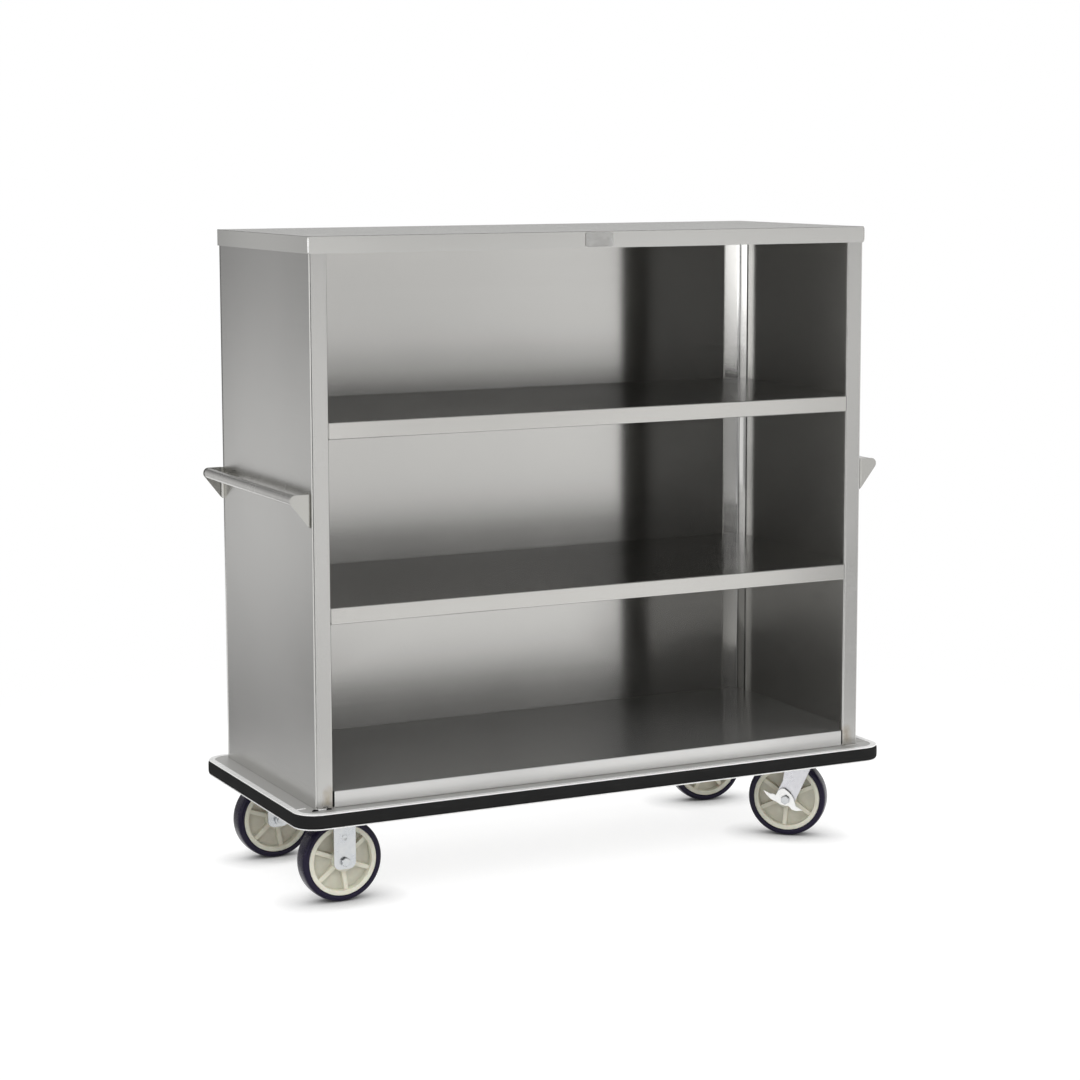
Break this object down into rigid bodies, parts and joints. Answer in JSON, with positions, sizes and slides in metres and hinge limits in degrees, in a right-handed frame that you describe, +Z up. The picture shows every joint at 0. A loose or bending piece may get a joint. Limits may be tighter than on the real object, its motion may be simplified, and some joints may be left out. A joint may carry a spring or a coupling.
{
  "type": "banquet cart",
  "caption": "Open-fronted stainless steel banquet cart: cabinet with shelves on a bumpered deck, push handles at both ends, rigid and braked swivel casters.",
  "frame": {"origin": "on the floor under the middle of the deck", "axes": "+Z up; +X along the cart's length towards the swivel casters; the open front faces -Y"},
  "size_m": [1.615, 0.6884, 1.5825],
  "materials": {
    "brushed_stainless_panel": "brushed",
    "bright_stainless": "brushed",
    "satin_metal_track": "satin",
    "zinc_plated_steel": "zinc plated",
    "black_rubber": "matt",
    "dark_tyre": "satin",
    "cream_grey_plastic": "satin",
    "bearing_steel": "satin",
    "blank_plate_metal": "brushed",
    "seal_rubber": "matt"
  },
  "bodies": {
    "cart": {"top_cap": "brushed_stainless_panel", "left_side_panel": "brushed_stainless_panel", "right_side_panel": "brushed_stainless_panel", "back_panel": "brushed_stainless_panel", "upper_shelf": "bright_stainless", "middle_shelf": "bright_stainless", "bottom_shelf": "bright_stainless", "upper_shelf_stiffener": "brushed_stainless_panel", "middle_shelf_stiffener": "brushed_stainless_panel", "base_deck": "brushed_stainless_panel", "left_caster_channel": "brushed_stainless_panel", "right_caster_channel": "brushed_stainless_panel", "front_frame_rail": "brushed_stainless_panel", "rear_frame_rail": "brushed_stainless_panel", "bumper_track": "satin_metal_track", "bumper_strip": "black_rubber", "left_handle_tube": "bright_stainless", "right_handle_tube": "bright_stainless", "name_plate_blank": "blank_plate_metal", "front_left_handle_bracket": "bright_stainless", "front_right_handle_bracket": "bright_stainless", "rear_left_handle_bracket": "bright_stainless", "rear_right_handle_bracket": "bright_stainless", "rear_left_post": "bright_stainless", "rear_right_post": "bright_stainless", "front_left_caster_frame": "zinc_plated_steel", "front_left_axle_bolt": "zinc_plated_steel", "front_left_axle_nut": "zinc_plated_steel", "front_right_caster_plate": "zinc_plated_steel", "front_right_kingpin": "zinc_plated_steel", "rear_left_caster_frame": "zinc_plated_steel", "rear_left_axle_bolt": "zinc_plated_steel", "rear_left_axle_nut": "zinc_plated_steel", "rear_right_caster_plate": "zinc_plated_steel", "rear_right_kingpin": "zinc_plated_steel"},
    "front_left_wheel": {"front_left_tyre": "dark_tyre", "front_left_hub": "cream_grey_plastic", "front_left_bearing": "bearing_steel"},
    "front_right_swivel": {"front_right_fork": "zinc_plated_steel", "front_right_race_seal": "seal_rubber", "front_right_axle_bolt": "zinc_plated_steel", "front_right_axle_nut": "zinc_plated_steel"},
    "front_right_wheel": {"front_right_tyre": "dark_tyre", "front_right_hub": "cream_grey_plastic", "front_right_bearing": "bearing_steel"},
    "front_right_brake": {"front_right_brake_lever": "zinc_plated_steel", "front_right_brake_cam": "zinc_plated_steel"},
    "rear_left_wheel": {"rear_left_tyre": "dark_tyre", "rear_left_hub": "cream_grey_plastic", "rear_left_bearing": "bearing_steel"},
    "rear_right_swivel": {"rear_right_fork": "zinc_plated_steel", "rear_right_race_seal": "seal_rubber", "rear_right_axle_bolt": "zinc_plated_steel", "rear_right_axle_nut": "zinc_plated_steel"},
    "rear_right_wheel": {"rear_right_tyre": "dark_tyre", "rear_right_hub": "cream_grey_plastic", "rear_right_bearing": "bearing_steel"},
    "rear_right_brake": {"rear_right_brake_lever": "zinc_plated_steel", "rear_right_brake_cam": "zinc_plated_steel"}
  },
  "joints": [
    {"name": "front_left_wheel_spin", "type": "hinge", "parent": "cart", "child": "front_left_wheel", "pos_m": [-0.66, -0.2108, 0.10121], "axis": [0, 1, 0], "continuous": true},
    {"name": "rear_left_wheel_spin", "type": "hinge", "parent": "cart", "child": "rear_left_wheel", "pos_m": [-0.66, 0.2302, 0.10121], "axis": [0, 1, 0], "continuous": true},
    {"name": "front_right_swivel_turn", "type": "hinge", "parent": "cart", "child": "front_right_swivel", "pos_m": [0.65, -0.2108, 0.23], "axis": [0, 0, 1], "continuous": true},
    {"name": "front_right_wheel_spin", "type": "hinge", "parent": "front_right_swivel", "child": "front_right_wheel", "pos_m": [0.61523, -0.18068, 0.10121], "axis": [0.6547, 0.7559, 0], "continuous": true},
    {"name": "front_right_brake_rock", "type": "hinge", "parent": "front_right_swivel", "child": "front_right_brake", "pos_m": [0.61523, -0.18068, 0.10121], "axis": [-0.6547, -0.7559, 0], "range_deg": [0, 40]},
    {"name": "rear_right_swivel_turn", "type": "hinge", "parent": "cart", "child": "rear_right_swivel", "pos_m": [0.65, 0.2302, 0.23], "axis": [0, 0, 1], "continuous": true},
    {"name": "rear_right_wheel_spin", "type": "hinge", "parent": "rear_right_swivel", "child": "rear_right_wheel", "pos_m": [0.60453, 0.23716, 0.10121], "axis": [0.1513, 0.9885, 0], "continuous": true},
    {"name": "rear_right_brake_rock", "type": "hinge", "parent": "rear_right_swivel", "child": "rear_right_brake", "pos_m": [0.60453, 0.23716, 0.10121], "axis": [-0.1513, -0.9885, 0], "range_deg": [0, 40]}
  ]
}
